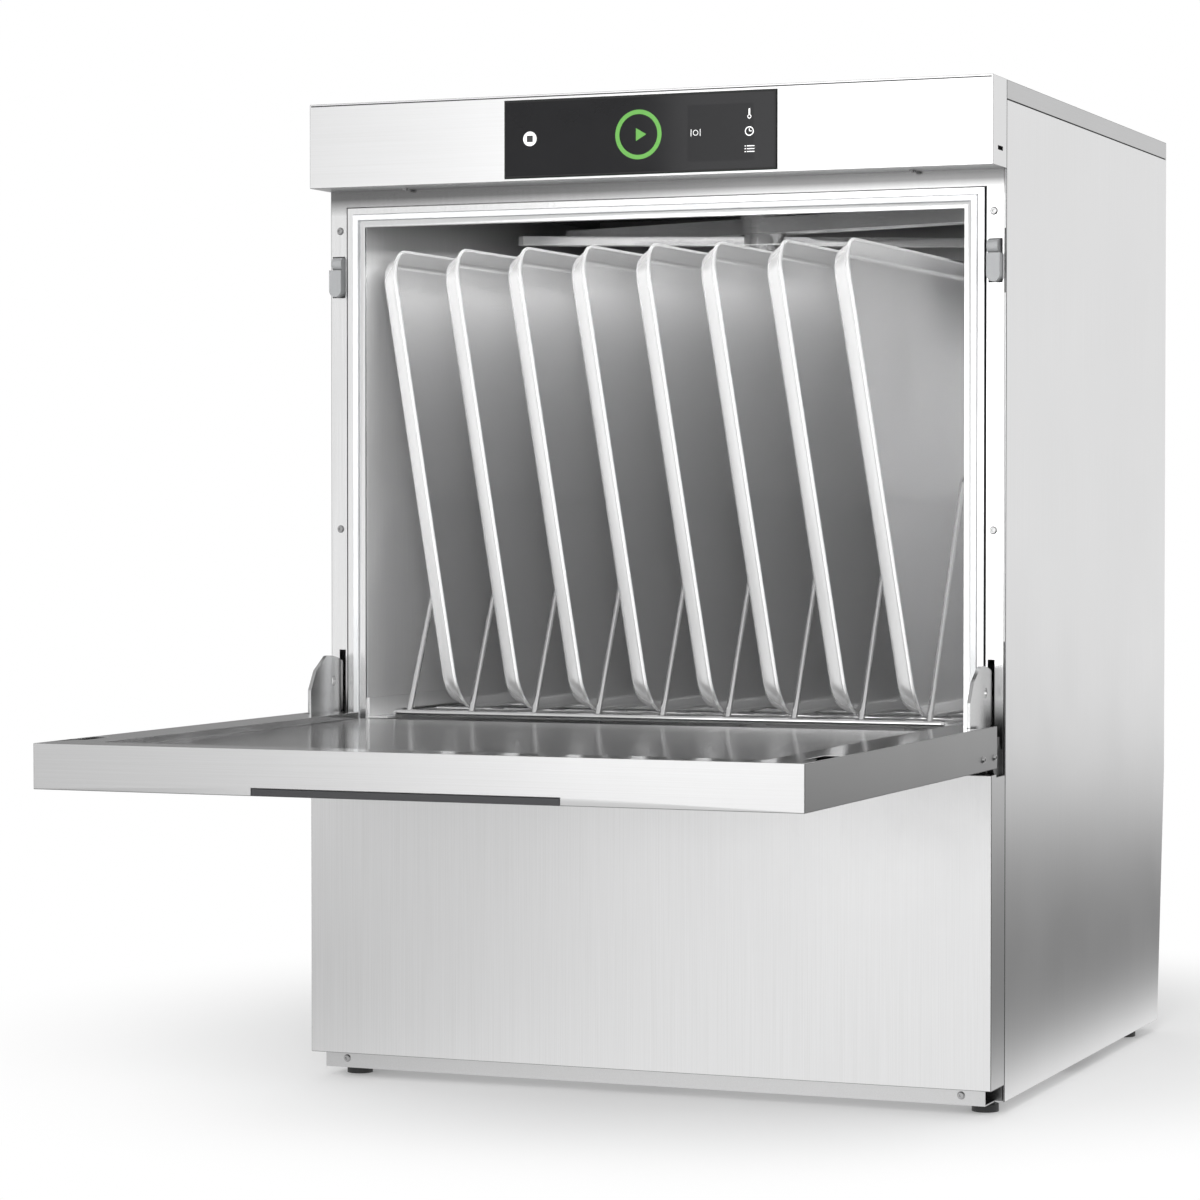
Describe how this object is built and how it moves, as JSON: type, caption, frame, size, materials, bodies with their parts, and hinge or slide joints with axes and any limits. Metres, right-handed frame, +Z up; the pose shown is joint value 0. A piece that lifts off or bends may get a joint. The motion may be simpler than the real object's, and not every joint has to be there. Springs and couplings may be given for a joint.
{
  "type": "undercounter glass washer",
  "caption": "Undercounter commercial glass washer with a drop-down door, a touch control fascia and a sliding wire rack that holds leaning trays.",
  "frame": {"origin": "on the floor, under the middle of the machine's footprint with its door open", "axes": "+X to the machine's right as seen from the front, +Y from the front to the rear, +Z up"},
  "size_m": [0.6032, 1.0494, 0.83],
  "materials": {
    "panel_steel": "vertically brushed stainless steel",
    "bright_steel": "polished stainless steel",
    "black_glass": "back-painted black touch glass",
    "green_light": "green light guide",
    "white_print": "white key field",
    "board": "circuit board on a black carrier",
    "seal_silicone": "pale silicone",
    "black_rubber": "black rubber",
    "grey_plastic": "grey moulded plastic",
    "white_plastic": "white moulded plastic",
    "black_plastic": "black moulded plastic",
    "motor_grey": "dark grey painted metal",
    "box_grey": "light grey painted metal",
    "tray_aluminium": "satin aluminium",
    "wire_steel": "polished wire"
  },
  "bodies": {
    "cabinet": {"base_frame": "panel_steel", "feet": "black_rubber", "side_panel_left": "panel_steel", "side_panel_right": "panel_steel", "rear_panel_upper": "panel_steel", "rear_panel_lower": "panel_steel", "top_cover": "panel_steel", "fascia_hood": "panel_steel", "control_glass": "black_glass", "start_ring": "green_light", "stop_key": "white_print", "control_board": "board", "lower_front_panel": "panel_steel", "front_frame": "bright_steel", "opening_frame": "bright_steel", "door_seal": "seal_silicone", "wash_chamber": "bright_steel", "rack_rails": "bright_steel", "sump_tank": "panel_steel", "strainer_plates": "bright_steel", "strainer_basket": "bright_steel", "tank_heater": "bright_steel", "manifold_lower": "bright_steel", "manifold_upper": "bright_steel", "wash_riser": "grey_plastic", "pump_casing": "grey_plastic", "pump_motor": "motor_grey", "boiler": "bright_steel", "rinse_pump": "motor_grey", "drain_pump": "grey_plastic", "dosing_pumps": "black_plastic", "electrics_box": "box_grey", "air_break": "white_plastic", "inlet_valve": "grey_plastic", "cable_gland": "black_plastic", "hinge_brackets": "bright_steel", "front_screws": "bright_steel"},
    "door": {"door_outer_skin": "panel_steel", "door_inner_panel": "bright_steel", "door_grip": "black_plastic", "hinge_leaves": "bright_steel", "door_screws": "bright_steel"},
    "rack": {"rack_base": "wire_steel", "rack_bails": "wire_steel", "tray_1": "tray_aluminium", "tray_2": "tray_aluminium", "tray_3": "tray_aluminium", "tray_4": "tray_aluminium", "tray_5": "tray_aluminium", "tray_6": "tray_aluminium", "tray_7": "tray_aluminium", "tray_8": "tray_aluminium"},
    "lower_wash_arm": {"wash_arm_lower": "bright_steel"},
    "upper_wash_arm": {"wash_arm_upper": "bright_steel"},
    "lower_rinse_arm": {"rinse_arm_lower": "bright_steel"},
    "upper_rinse_arm": {"rinse_arm_upper": "bright_steel"},
    "left_latch": {"latch_left": "grey_plastic"},
    "right_latch": {"latch_right": "grey_plastic"},
    "wash_pump_rotor": {"pump_rotor": "motor_grey"}
  },
  "joints": [
    {"name": "door_swing", "type": "hinge", "parent": "cabinet", "child": "door", "pos_m": [0, -0.05725, 0.288], "axis": [-1, 0, 0], "range_deg": [0, 90]},
    {"name": "rack_slide", "type": "slide", "parent": "cabinet", "child": "rack", "axis": [0, 1, 0], "range_m": [-0.285, 0]},
    {"name": "lower_wash_arm_spin", "type": "hinge", "parent": "cabinet", "child": "lower_wash_arm", "pos_m": [0, 0.24275, 0.281], "axis": [0, 0, 1], "continuous": true},
    {"name": "lower_rinse_arm_spin", "type": "hinge", "parent": "cabinet", "child": "lower_rinse_arm", "pos_m": [0, 0.24275, 0.295], "axis": [0, 0, 1], "continuous": true},
    {"name": "upper_wash_arm_spin", "type": "hinge", "parent": "cabinet", "child": "upper_wash_arm", "pos_m": [0, 0.24275, 0.742], "axis": [0, 0, 1], "continuous": true},
    {"name": "upper_rinse_arm_spin", "type": "hinge", "parent": "cabinet", "child": "upper_rinse_arm", "pos_m": [0, 0.24275, 0.727], "axis": [0, 0, 1], "continuous": true},
    {"name": "left_latch_press", "type": "slide", "parent": "cabinet", "child": "left_latch", "axis": [0, 1, 0], "range_m": [0, 0.006], "stiffness_N_per_m": 400, "springref_m": -0.002},
    {"name": "right_latch_press", "type": "slide", "parent": "cabinet", "child": "right_latch", "axis": [0, 1, 0], "range_m": [0, 0.006], "stiffness_N_per_m": 400, "springref_m": -0.002},
    {"name": "wash_pump_spin", "type": "hinge", "parent": "cabinet", "child": "wash_pump_rotor", "pos_m": [0, 0.26475, 0.07], "axis": [0, 1, 0], "continuous": true}
  ]
}
